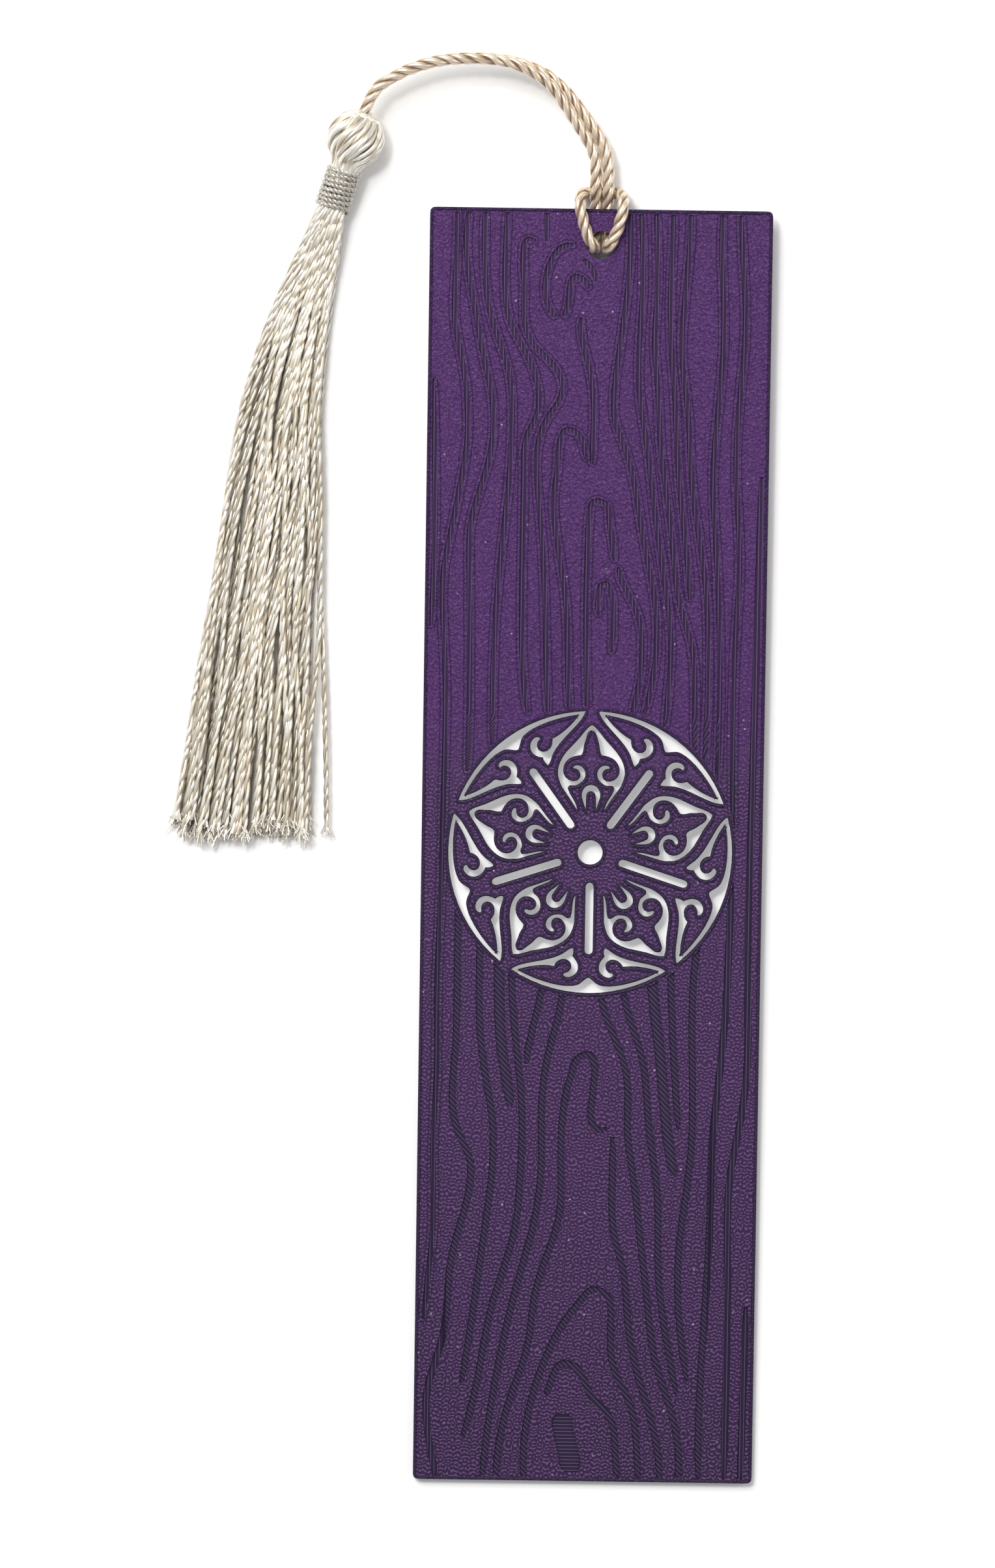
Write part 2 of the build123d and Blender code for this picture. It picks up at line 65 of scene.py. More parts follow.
class Wire:
    """A socket of a node tree. Arithmetic on it adds Math nodes."""

    def __init__(self, net, socket):
        self.net = net
        self.socket = socket

    def __add__(self, other):
        return self.net.math("ADD", self, other)

    def __sub__(self, other):
        return self.net.math("SUBTRACT", self, other)

    def __rsub__(self, other):
        return self.net.math("SUBTRACT", other, self)

    def __mul__(self, other):
        return self.net.math("MULTIPLY", self, other)

    def __truediv__(self, other):
        return self.net.math("DIVIDE", self, other)

    def __pow__(self, other):
        return self.net.math("POWER", self, other)

    def __abs__(self):
        return self.net.math("ABSOLUTE", self)

    __radd__ = __add__
    __rmul__ = __mul__


class Net:
    """A node tree and the calls that add to it."""

    def __init__(self, tree):
        self.tree = tree
        tree.nodes.clear()

    def node(self, kind, settings, inputs, output=0):
        """Adds a node with its settings and its sockets' values or links, and gives one output."""
        made = self.tree.nodes.new(kind)
        for name, value in settings.items():
            setattr(made, name, value)
        for key, value in inputs.items():
            socket = self.pick(made.inputs, key)
            for item in value if isinstance(value, list) else [value]:
                if isinstance(item, Wire):
                    self.tree.links.new(item.socket, socket)
                else:
                    socket.default_value = item
        return Wire(self, self.pick(made.outputs, output)) if made.outputs else None

    @staticmethod
    def pick(sockets, key):
        """A socket by its number, or the one in use that has this name."""
        if isinstance(key, int):
            return sockets[key]
        return next(s for s in sockets if s.name == key and s.enabled)

    def math(self, operation, a, b=None):
        inputs = {0: a} if b is None else {0: a, 1: b}
        return self.node("ShaderNodeMath", {"operation": operation}, inputs)

    def vector(self, operation, a, b):
        return self.node("ShaderNodeVectorMath", {"operation": operation}, {0: a, 1: b})

    def scale(self, a, factor):
        return self.node("ShaderNodeVectorMath", {"operation": "SCALE"}, {0: a, "Scale": factor})

    def join(self, x, y, z):
        return self.node("ShaderNodeCombineXYZ", {}, {0: x, 1: y, 2: z})

    def split(self, vector):
        first = self.node("ShaderNodeSeparateXYZ", {}, {0: vector})
        return [Wire(self, s) for s in first.socket.node.outputs]

    def step(self, value, low, high):
        """0 below low, 1 above high, with a smooth rise between them."""
        settings = {"interpolation_type": "SMOOTHSTEP"}
        inputs = {"Value": value, "From Min": low, "From Max": high}
        return self.node("ShaderNodeMapRange", settings, inputs)

    def wave(self, turns):
        """Rises and falls between 0 and 1 once in each turn."""
        return self.math("SINE", turns * TAU) * 0.5 + 0.5

    def noise(self, at, scale, detail=2.0, rough=0.5, warp=0.0):
        inputs = {"Vector": at, "Scale": scale, "Detail": detail}
        inputs.update({"Roughness": rough, "Distortion": warp})
        return self.node("ShaderNodeTexNoise", {}, inputs)

    def tint(self, factor, first, second):
        """The first colour where factor is 0 and the second where it is 1."""
        first = first if isinstance(first, Wire) else (*first, 1)
        second = second if isinstance(second, Wire) else (*second, 1)
        inputs = {0: factor, 6: first, 7: second}
        return self.node("ShaderNodeMix", {"data_type": "RGBA"}, inputs, 2)

    def bump(self, height, distance, strength=1.0):
        inputs = {"Height": height, "Distance": distance, "Strength": strength}
        return self.node("ShaderNodeBump", {}, inputs)

    def attribute(self, name, output):
        return self.node("ShaderNodeAttribute", {"attribute_name": name}, {}, output)

    def random(self, low, high, item, seed):
        """A fixed random number for each item."""
        inputs = {"Min": low, "Max": high, "ID": item, "Seed": seed}
        return self.node("FunctionNodeRandomValue", {}, inputs, "Value")

    def store(self, geometry, name, value, kind="FLOAT"):
        """Keeps a value on the geometry, under a name that materials can read."""
        inputs = {"Geometry": geometry, "Name": name, "Value": value}
        return self.node("GeometryNodeStoreNamedAttribute", {"data_type": kind}, inputs)

    def resample(self, curves, step):
        """The curves with their points an even step apart."""
        inputs = {"Curve": curves, "Length": step}
        return self.node("GeometryNodeResampleCurve", {"mode": "LENGTH"}, inputs)

    def group(self, sockets):
        for name, kind in sockets.items():
            self.tree.interface.new_socket(name, in_out="INPUT", socket_type="NodeSocket" + kind)
        self.tree.interface.new_socket(
            "Geometry", in_out="OUTPUT", socket_type="NodeSocketGeometry"
        )
        entry = self.tree.nodes.new("NodeGroupInput")
        return {s.name: Wire(self, s) for s in entry.outputs if s.name}

    def deliver(self, geometry, finish):
        """Ends a geometry tree with smooth faces, one material and plain geometry."""
        smooth = self.node("GeometryNodeSetShadeSmooth", {}, {"Geometry": geometry})
        shown = self.node("GeometryNodeSetMaterial", {}, {"Geometry": smooth, "Material": finish})
        real = self.node("GeometryNodeRealizeInstances", {}, {"Geometry": shown})
        self.node("NodeGroupOutput", {}, {0: real})


def new_material(name):
    material = bpy.data.materials.new(name)
    material.use_nodes = True
    return material, Net(material.node_tree)


def close_material(net, constants, **links):
    """The surface shader: links vary over the surface, constants are the same all over it."""
    inputs = {name.replace("_", " "): value for name, value in links.items()}
    shader = net.node("ShaderNodeBsdfPrincipled", {}, {**inputs, **constants})
    net.node("ShaderNodeOutputMaterial", {}, {"Surface": shader})


def new_tree(name):
    return Net(bpy.data.node_groups.new(name, "GeometryNodeTree"))


def placed(name, data):
    """A new object in the scene."""
    made = bpy.data.objects.new(name, data)
    bpy.context.scene.collection.objects.link(made)
    return made


def shaded(color, light):
    return tuple(c * light for c in color)


# Routes, in millimetres, from the same sizes as the frame


PLATE_WIDTH = 40.0
PLATE_LENGTH = 150.0
PLATE_THICKNESS = 1.2
CORD_RADIUS = 0.7
LEG_OFFSET = 0.74
TOP_EDGE = 75.0
HOLE_Y = 70.8
BACK_Z = -LEG_OFFSET
FRONT_Z = PLATE_THICKNESS + LEG_OFFSET
TURN_Y = HOLE_Y - 0.38
THROAT = (0.0, TOP_EDGE + 4.6, 0.72)
BIGHT = (1.9, TOP_EDGE + 1.95, -1.38)
LEAN = math.atan2(CORD_RADIUS - BIGHT[2], BIGHT[1] + PLATE_LENGTH / 2)
SETTLE_Y = (PLATE_THICKNESS * math.sin(LEAN) + PLATE_LENGTH * (1 - math.cos(LEAN))) / 2
SEAT_Y = SETTLE_Y - TOP_EDGE + TOP_EDGE * math.cos(LEAN)
PLATE_SEAT = Vector((0, SEAT_Y, TOP_EDGE * math.sin(LEAN)))
PLATE_TURN = Matrix.Rotation(LEAN, 3, "X")
ROSETTE = (-0.2, -0.4)
ROSETTE_RADIUS = 16.7

HEAD = Vector((-28.9, 82.8, 3.45))
HEAD_RADIUS = 3.45
DOWN = (Vector((-31.5, 74.85, 2.45)) - HEAD).normalized()
ACROSS = Vector((-DOWN.y, DOWN.x, 0)).normalized()
UPWARD = DOWN.cross(ACROSS)
CROWN = Vector((-14.5, 92.4, 4.2))
ENTRY = HEAD - DOWN * (HEAD_RADIUS + CORD_RADIUS + 0.25)

HEAD_COUNT = 28  # threads folded over the head
HEAD_DEPTH, CROWN_DEPTH, CORE_DEPTH = 0.44, 0.36, 0.62  # below the head's radius
CROWN_POLARS = (19, 29)  # degrees from the head's mouth
NECK_REACH, CORE_NECK = 1.32, 1.15
CORE_SIDES = 24
BINDING_START, BINDING_LENGTH, BINDING_REACH = 3.85, 4.75, 1.84
BINDING_SIDES = 16

# The skirt from its neck to its tips: place along Y, middle in X, half width and height
FAN = [
    (70.5, -32.8, 2.5, 2.0),
    (62.0, -35.4, 3.8, 1.6),
    (50.0, -37.5, 4.9, 1.4),
    (34.0, -38.2, 6.3, 1.4),
    (17.0, -39.3, 7.9, 1.4),
    (1.7, -40.3, 9.4, 1.4),
]


def rested(point):
    """A point of the plate's own frame, where the plate lies."""
    return PLATE_TURN @ Vector(point) + PLATE_SEAT


def hitch_route():
    """The hitch from the right leg, through the hole and round the bight, to the left leg."""
    sides = []
    for side in (1, -1):
        x = side * LEG_OFFSET
        points = [
            (x, THROAT[1] + 0.5, THROAT[2]),
            (x, TOP_EDGE + 2.3, THROAT[2]),
            (x, TOP_EDGE + 0.42, BACK_Z),
            (x, TURN_Y, BACK_Z),
            (x, TURN_Y, FRONT_Z),
            (side * 1.85, TURN_Y + 1.9, FRONT_Z),
            (side * 2.6, TOP_EDGE + 0.5, FRONT_Z + 0.15),
            (side * 2.4, TOP_EDGE + 1.75, 0.3),
            (side * BIGHT[0], BIGHT[1], BIGHT[2]),
        ]
        sides.append([rested(p) for p in points])
    return sides[0] + sides[1][::-1]


def leg_route(side):
    """One leg of the loop, from the hitch over the crown to the tassel's head."""
    start = rested(THROAT) + Vector((0, 0.12, 0))
    middle = [
        (start, 0),
        (Vector((0, 81.7, start.z)), 0),
        (Vector((-3.1, 86.2, 3.1)), 30),
        (Vector((-5.9, 89.9, 3.6)), 58),
        (Vector((-10.2, 92.0, 4.0)), 80),
        (CROWN, 90),
        (Vector((-19.2, 92.1, 4.3)), 90),
        (Vector((-22.6, 91.0, 4.3)), 90),
        (Vector((-24.6, 90.0, 4.25)), 90),
        (ENTRY - DOWN * 1.5, 90),
        (ENTRY + DOWN * 2.0, 90),
    ]
    points = []
    for i, (point, roll) in enumerate(middle):
        ahead = middle[min(i + 1, len(middle) - 1)][0] - middle[max(i - 1, 0)][0]
        across = Vector((ahead.y, -ahead.x, 0)).normalized()
        roll = math.radians(roll)
        offset = across * math.cos(roll) + Vector((0, 0, -1)) * math.sin(roll)
        points.append(point + offset * (side * LEG_OFFSET))
    return points


def in_tassel(across, upward, down):
    """A point of the tassel's own frame: across it, up from it and down its length."""
    return HEAD + ACROSS * across + UPWARD * upward + DOWN * down


def around_tassel(reach, turn, down):
    """A point at a reach from the tassel's axis, turned about it, and down its length."""
    return in_tassel(reach * math.cos(turn), reach * math.sin(turn), down)


def on_ball(radius, polar, turn):
    """A point of a ball about the head's middle. Polar is its angle from the cord's mouth."""
    return around_tassel(radius * math.sin(polar), turn, -radius * math.cos(polar))


def smooth_curve(name, routes, order=3, radii=None):
    """A curve with one smooth spline for each route, whose points are its control points."""
    data = bpy.data.curves.new(name, "CURVE")
    data.dimensions = "3D"
    data.resolution_u = 16
    for k, route in enumerate(routes):
        spline = data.splines.new("NURBS")
        spline.points.add(len(route) - 1)
        for i, (point, co) in enumerate(zip(spline.points, route)):
            point.co = (*(Vector(co) * MM), 1)
            point.radius = radii[k][i] if radii else 1.0
        spline.order_u = order
        spline.use_endpoint_u = True
    return placed(name, data)


def centreline(curve):
    """The points that a curve runs through."""
    graph = bpy.context.evaluated_depsgraph_get()
    mesh = bpy.data.meshes.new_from_object(curve.evaluated_get(graph), depsgraph=graph)
    points = [tuple(v.co) for v in mesh.vertices]
    bpy.data.meshes.remove(mesh)
    return points


def dress(source, name, net, **values):
    """Runs a geometry tree on an object and keeps the result as a plain mesh."""
    modifier = source.modifiers.new("Lay", "NODES")
    modifier.node_group = net.tree
    for item in net.tree.interface.items_tree:
        if item.in_out == "INPUT" and item.name in values:
            modifier[item.identifier] = values[item.name]
    graph = bpy.context.evaluated_depsgraph_get()
    mesh = bpy.data.meshes.new_from_object(source.evaluated_get(graph), depsgraph=graph)
    bpy.data.objects.remove(source)
    mesh.name = name
    return placed(name, mesh)


# Geometry trees


SHADE_SEED = 7


def twist_tree(plies, share):
    """Lays twisted plies along each curve. A ply's radius is its share of the thread's diameter.

    Reach, kept for the material, is 0 where the plies meet and 1 on their crests.
    """
    net = new_tree(f"twisted_{plies}_ply")
    apart, half = 0.5 - share, math.pi / plies
    crevice = 0.0
    if plies > 1:
        beyond = math.sqrt(share ** 2 - (apart * math.sin(half)) ** 2)
        crevice = 2 * (apart * math.cos(half) + beyond)
    given = net.group({
        "Curves": "Geometry", "Thread": "Float", "Turn": "Float", "Step": "Float",
        "Uneven": "Float", "Sides": "Int", "Seed": "Int", "Finish": "Material",
    })
    along = net.node("GeometryNodeSplineParameter", {}, {}, "Length")
    strand = net.node("GeometryNodeCurveOfPoint", {}, {}, "Curve Index")
    place = net.node("GeometryNodeInputPosition", {}, {})
    normal = net.node("GeometryNodeInputNormal", {}, {})
    tangent = net.node("GeometryNodeInputTangent", {}, {})
    side = net.vector("CROSS_PRODUCT", tangent, normal)
    start = net.random(0.0, TAU, strand, given["Seed"])
    shade = net.random(0.0, 1.0, strand, SHADE_SEED)
    laid = net.resample(given["Curves"], given["Step"])
    laid = net.store(laid, "along", along)
    laid = net.store(laid, "shade", shade)
    laid = net.store(laid, "axis", place, "FLOAT_VECTOR")
    circle = {"Resolution": given["Sides"], "Radius": given["Thread"] * share}
    ring = net.node("GeometryNodeCurvePrimitiveCircle", {}, circle)
    around = net.vector("NORMALIZE", place, (0, 0, 0))
    ring = net.store(ring, "around", around, "FLOAT_VECTOR")
    uneven = net.noise(net.join(strand * 7.3, along * 250.0, 0.0), 1.0, 1.0) * given["Uneven"]
    offset = given["Thread"] * apart
    laid_plies = []
    for ply in range(plies):
        angle = along / given["Turn"] * TAU + uneven + (start + TAU * ply / plies)
        out = net.scale(normal, net.math("COSINE", angle) * offset)
        up = net.scale(side, net.math("SINE", angle) * offset)
        shift = {"Geometry": laid, "Offset": net.vector("ADD", out, up)}
        moved = net.node("GeometryNodeSetPosition", {}, shift)
        sweep = {"Curve": moved, "Profile Curve": ring, "Fill Caps": True}
        laid_plies.append(net.node("GeometryNodeCurveToMesh", {}, sweep))
    joined = net.node("GeometryNodeJoinGeometry", {}, {"Geometry": laid_plies})
    vector = {"data_type": "FLOAT_VECTOR"}
    axis = net.node("GeometryNodeInputNamedAttribute", vector, {"Name": "axis"})
    distance = {"operation": "DISTANCE"}
    reach = net.node("ShaderNodeVectorMath", distance, {0: place, 1: axis}, "Value")
    reach = (reach * 2.0 / given["Thread"] - crevice) / (1.0 - crevice)
    net.deliver(net.store(joined, "reach", reach), given["Finish"])
    return net


def wall_line_tree():
    """Lays a low rounded line along every edge chain of a mesh, as a printer's nozzle does."""
    net = new_tree("wall_lines")
    given = net.group({
        "Chains": "Geometry", "Width": "Float", "Height": "Float", "Step": "Float",
        "Finish": "Material",
    })
    chains = net.node("GeometryNodeMeshToCurve", {}, {"Mesh": given["Chains"]})
    chains = net.resample(chains, given["Step"])
    chains = net.node("GeometryNodeSetCurveNormal", {"mode": "Z_UP"}, {"Curve": chains})
    ring = net.node("GeometryNodeCurvePrimitiveCircle", {}, {"Resolution": 8, "Radius": 0.5})
    size = net.join(given["Width"], given["Height"], 1.0)
    ring = net.node("GeometryNodeTransform", {}, {"Geometry": ring, "Scale": size})
    lines = net.node("GeometryNodeCurveToMesh", {}, {"Curve": chains, "Profile Curve": ring})
    net.deliver(lines, given["Finish"])
    return net


# Settings


def color_setting(name, description, default):
    return bpy.props.FloatVectorProperty(
        name=name, description=description, default=default, size=3, min=0, max=1,
        subtype="COLOR",
    )


def length_setting(name, description, default):
    return bpy.props.FloatProperty(
        name=name, description=description, default=default, min=0, precision=5,
        subtype="DISTANCE", unit="LENGTH",
    )


def angle_setting(name, description, degrees):
    return bpy.props.FloatProperty(
        name=name, description=description, default=math.radians(degrees), subtype="ANGLE"
    )


def count_setting(name, description, default, least):
    return bpy.props.IntProperty(
        name=name, description=description, default=default, min=least
    )


class BookmarkPlate(bpy.types.PropertyGroup):
    """Finish of the printed plate"""

    land_color: color_setting(
        "Lands", "Colour of the plate's front and walls", (0.032, 0.010, 0.054)
    )
    # painted highlight on the crests of the bed's ridges and of the hatch lines
    crest_highlight_color: color_setting(
        "Crests", "Colour on the crests of its ridges and lines", (0.135, 0.082, 0.185)
    )
    # painted shade: the dark colour of the groove floors, the upper half's creases and the raised
    # lines
    floor_shade_color: color_setting(
        "Groove floors", "Colour in the grooves and on raised lines", (0.016, 0.010, 0.034)
    )
    speck_color: color_setting(
        "Specks", "Colour of the small pale specks", (0.42, 0.34, 0.48)
    )
    line_width: length_setting("Line width", "Width of one printed line", 0.00042)
    line_height: length_setting(
        "Line crown", "How far a wall line stands above the lands", 0.00008
    )
    grain_width: length_setting(
        "Grain line width", "Width of the fine lines beside the upper grooves", 0.00014
    )
    grain_height: length_setting(
        "Grain line crown", "How far a fine line stands above the lands", 0.00003
    )
    wrinkle: length_setting("Wrinkle height", "Height of the print bed's texture", 0.0001)


class BookmarkCord(bpy.types.PropertyGroup):
    """Looped cord and its hitch"""

    diameter: length_setting("Diameter", "Thickness of the cord", 0.00145)
    turn: length_setting("Turn", "Length of one full turn of the plies", 0.0052)
    # painted light: Silk is the painted highlight on the ply crests, Flanks a painted shade on
    # their sides, Crevices a deeper painted shade where they meet
    color: color_setting("Silk", "Colour on the crests of the plies", (0.80, 0.67, 0.52))
    flank_shade: color_setting("Flanks", "Colour of the plies' sides", (0.29, 0.18, 0.105))
    crevice_shade: color_setting("Crevices", "Colour where the plies meet", (0.12, 0.07, 0.042))


class BookmarkTassel(bpy.types.PropertyGroup):
    """Tassel's threads"""

    thread: length_setting("Thread", "Thickness of one thread", 0.00072)
    turn: length_setting("Turn", "Length of one full turn of the plies", 0.0038)
    per_layer: count_setting("Threads", "Threads in each layer of the skirt", 23, 3)
    # painted light: Silk is the painted highlight on the ply crests, Flanks a painted shade on
    # their sides, Crevices a deeper painted shade where they meet
    color: color_setting("Silk", "Colour on the crests of the plies", (1.0, 0.97, 0.90))
    flank_shade: color_setting("Flanks", "Colour of the plies' sides", (0.62, 0.535, 0.40))
    crevice_shade: color_setting("Crevices", "Colour where the plies meet", (0.36, 0.285, 0.185))
    binding_turns: count_setting("Binding turns", "Turns round the neck", 8, 2)


class BookmarkStage(bpy.types.PropertyGroup):
    """Table, light and camera"""

    distance: length_setting("Camera distance", "From the camera to the bookmark", 0.9)
    tilt: angle_setting("Camera tilt", "Lean of the camera's axis", 3.7)
    roll: angle_setting("Camera roll", "Turn about the camera's axis", 0.83)
    table_color: color_setting("Table", "Colour of the table", (0.97, 0.97, 0.97))


# Materials


# Silk: streaks per metre of thread, how strongly they show, and where the painted highlights on the
# crests and the painted shade in the crevices begin
FIBRE_RATE, PATCH_RATE = 200.0, 170.0
FIBRE_CONTRAST, PATCH_CONTRAST = 1.6, 0.8
HIGHLIGHT_EDGE, CREVICE_SHADE_EDGE = (0.35, 0.95), (0.0, 0.35)
EVEN_HIGHLIGHT = 0.6
STREAK_HEIGHT = 0.00004

# Plate, in millimetres: the heights at which its faces begin and end, and the print's pitches
LAND_FROM, RAISED_FROM = (1.14, 1.18), (1.205, 1.225)
FLOOR_FROM, FLOOR_TO = (0.86, 0.88), (0.92, 0.94)
BACK_TO = (0.02, 0.05)
UPPER_FROM = (6.0, 16.0)  # along Y, where the upper half's finer print begins
FOOT_SHADE_SPAN = (-80.0, -20.0)  # along Y, where painted shade darkens the plate towards its foot
# painted light: the plate's foot darker and its upper half brighter, as light falls off down its
# length
FOOT_PAINTED_SHADE, UPPER_PAINTED_LIGHT = 0.7, 2.6
LINE_PITCH, RASTER_PITCH, LAYER_HEIGHT = 0.42, 0.43, 0.2
LOWER_RIDGES, UPPER_RIDGES = 0.39, 0.5
RIDGE_WAVES, RIDGE_DRIFT, RIDGE_EDGE = 7, 1.2, (-0.4, 2.4)
SPECK_SIZE, SPECK_CHANCE = (0.04, 0.1), (0.72, 0.76)
DIAGONAL = 0.7071


def silk_material(name, color, flank_shade, crevice_shade, lie):
    """Shiny twisted silk, with a painted highlight on its crests and painted shade where plies
    meet.

    Lie is how far the pale follows the plies: 1 wholly, 0 not at all.
    """
    material, net = new_material(name)
    along = net.attribute("along", "Fac")
    shade = net.attribute("shade", "Fac")
    reach = net.attribute("reach", "Fac")
    x, y, _ = net.split(net.attribute("around", "Vector"))
    at = net.join(x * 1.1 + shade * 9.0, y * 1.1, along * FIBRE_RATE)
    fibres = net.noise(at, 2.0, 3.0, 0.6)
    patches = net.noise(net.join(shade * 31.0, 0.0, along * PATCH_RATE), 1.0, 1.0)
    level = reach * lie + EVEN_HIGHLIGHT * (1 - lie)
    level = level + (fibres - 0.5) * FIBRE_CONTRAST + (patches - 0.5) * PATCH_CONTRAST
    # painted highlight: the pale crest colour follows the ply crests, broken into streaks and
    # patches by noise
    highlight = net.step(level, *HIGHLIGHT_EDGE)
    # painted shade: darker on the plies' flanks and darkest where the plies meet
    tone = net.tint(net.step(reach, *CREVICE_SHADE_EDGE), crevice_shade, flank_shade)
    tone = net.scale(net.tint(highlight, tone, color), 0.8 + shade * 0.26)
    rough = 0.4 - highlight * 0.18
    bump = net.bump(fibres, STREAK_HEIGHT, 0.3)
    constants = {"Specular IOR Level": 1.0, "Metallic": 0.5, "Sheen Weight": 0.1}
    close_material(net, constants, Base_Color=tone, Roughness=rough, Normal=bump)
    return material


def plate_places(net):
    """The plate's own coordinates in millimetres."""
    at = net.node("ShaderNodeTexCoord", {}, {}, "Object")
    inputs = {"Vector": at, "Location": tuple(PLATE_SEAT * MM), "Rotation": (LEAN, 0, 0)}
    local = net.node("ShaderNodeMapping", {"vector_type": "TEXTURE"}, inputs)
    return net.scale(local, 1 / MM)


def bed_ridges(net, x, y, pitch):
    """The short curled ridges of a textured print bed: 1 on their crests, 0 between them."""
    x = x + (net.noise(net.join(x, y, 2.0), 0.5, 1.0) - 0.5) * RIDGE_DRIFT
    y = y + (net.noise(net.join(x, y, 7.0), 0.5, 1.0) - 0.5) * RIDGE_DRIFT
    total = 0.0
    for k in range(RIDGE_WAVES):
        turn = math.pi * k / RIDGE_WAVES + 0.1
        weight = 0.7 + 0.9 * math.sin(turn) ** 2
        rate = TAU / pitch * (1 - 0.04 * (k * 3 % 5))
        phase = (x * math.cos(turn) + y * math.sin(turn)) * rate + 1.7 * k * k
        total = total + net.math("COSINE", phase) * weight
    return net.step(total, *RIDGE_EDGE)


def hatch_lines(net, x, y, upper):
    """Lines on the groove floors: slanting in the lower half, upright above and at the sides.

    They lie level on the floor of the short broad groove at the foot.
    """
    upright = net.math("MAXIMUM", upper, net.step(abs(x + 1.0), 15.4, 15.8))
    level = (1.0 - net.step(abs(x + 2.0), 1.6, 1.7)) * (1.0 - net.step(y, -66.2, -66.0))
    lane = (x + y) * (DIAGONAL / LINE_PITCH) * (1.0 - upright) + x * (upright / LINE_PITCH)
    lane = lane * (1.0 - level) + y * (level / LINE_PITCH)
    return net.step(net.wave(lane), 0.66 - upper * 0.2, 1.0)


def plate_material(settings):
    """Printed plastic: ridges in front, hatched groove floors, layered walls, a rastered back."""
    material, net = new_material("printed_plate")
    at = plate_places(net)
    x, y, z = net.split(at)
    land = net.step(z, *LAND_FROM)
    raised = net.step(z, *RAISED_FROM)
    back = 1.0 - net.step(z, *BACK_TO)
    floor = net.step(z, *FLOOR_FROM) * (1.0 - net.step(z, *FLOOR_TO))
    side = 1.0 - net.math("MINIMUM", land + back + floor, 1.0)
    upper = net.step(y, *UPPER_FROM)

    lower_ridges = bed_ridges(net, x, y, LOWER_RIDGES) * (1.0 - upper)
    ridges = lower_ridges + bed_ridges(net, x, y, UPPER_RIDGES) * upper
    hatch = hatch_lines(net, x, y, upper)
    raster = net.wave((x - y) * (DIAGONAL / RASTER_PITCH))
    layers = net.wave(z / LAYER_HEIGHT)
    fine = net.noise(net.join(x, y * 1.2, 9.0), 2.6, 2.0, 0.6, 0.4)
    crease = (1.0 - net.step(abs(fine - 0.5), 0.0, 0.05)) * upper
    height = (ridges - crease * 0.8 + fine * 0.6) * land + hatch * floor
    height = height + (raster * back + layers * side) * 0.6

    cell = {"Vector": at, "Scale": 0.62, "Randomness": 1.0}
    apart = net.node("ShaderNodeTexVoronoi", {}, cell, "Distance")
    chance = net.split(net.node("ShaderNodeTexVoronoi", {}, cell, "Color"))[0]
    speck = (1.0 - net.step(apart, *SPECK_SIZE)) * net.step(chance, *SPECK_CHANCE) * land

    plain, dark, highlight = settings.land_color, settings.floor_shade_color, settings.crest_highlight_color
    broad = net.noise(at, 0.09, 2.0)
    # painted light: darker towards the foot, brighter in the upper half with a broad random
    # variation
    flat_tone = net.tint(net.step(y, *FOOT_SHADE_SPAN), shaded(plain, FOOT_PAINTED_SHADE), plain)
    flat_tone = net.tint(upper * 0.8 + broad * 0.2, flat_tone, shaded(plain, UPPER_PAINTED_LIGHT))
    # painted shade in the fine creases of the upper half
    flat_tone = net.tint(crease * 0.4, flat_tone, dark)
    # painted highlight on the crests of the bed's ridges, weaker in the upper half
    land_tone = net.tint(ridges * (0.75 - upper * 0.4), flat_tone, highlight)
    # painted shade on the groove floors, lifted towards the land colour in the upper half, with a
    # painted highlight on the hatch lines' crests
    floor_tone = net.tint(hatch * 0.8, net.tint(upper * 0.65, dark, plain), highlight)
    tone = net.tint(floor, land_tone, floor_tone)
    tone = net.tint(speck * 0.8, tone, settings.speck_color)
    # painted shade: the raised wall and grain lines are darkened as dark outlines
    tone = net.tint(raised * 0.75, tone, dark)
    rough = 0.5 - ridges * land * 0.14 - hatch * floor * 0.14
    bump = net.bump(height, settings.wrinkle, 0.85)
    constants = {"Specular IOR Level": 0.2}
    close_material(net, constants, Base_Color=tone, Roughness=rough, Normal=bump)
    return material


# Pieces


CHAIN_SPACING = 0.00025
SAME_POINT, SAME_HEIGHT = 2e-6, 5e-5  # metres, for the plate's mesh
WALL_INSET, GRAIN_INSET = 0.42, 0.8  # of a printed line's width, into the land
RIM_MARGIN, ROSETTE_MARGIN = 0.2, 0.8  # millimetres, for telling the plate's edges apart
GRAIN_FROM, LEAST_GROOVE = 20.0, 4.0  # millimetres along Y, for the upper half's grooves
FEWEST_POINTS = 8
CORD_LIE, HEAD_LIE, SKIRT_LIE = 1.0, 0.6, 0.4
# painted shade: the binding's silk is a darker copy of the tassel's
BINDING_PAINTED_SHADE = 0.56
# painted shade: lit and shaded copies of the skirt's silk, darker for the lower layers
SKIRT_LAYER_SHADES = (("lower", 0.85), ("middle", 0.97), ("upper", 1.0))
SKIRT_SEED = 20
FRAY_COUNT = 9
LOWEST_THREAD, LOWEST_FRAY = 0.42, 0.1


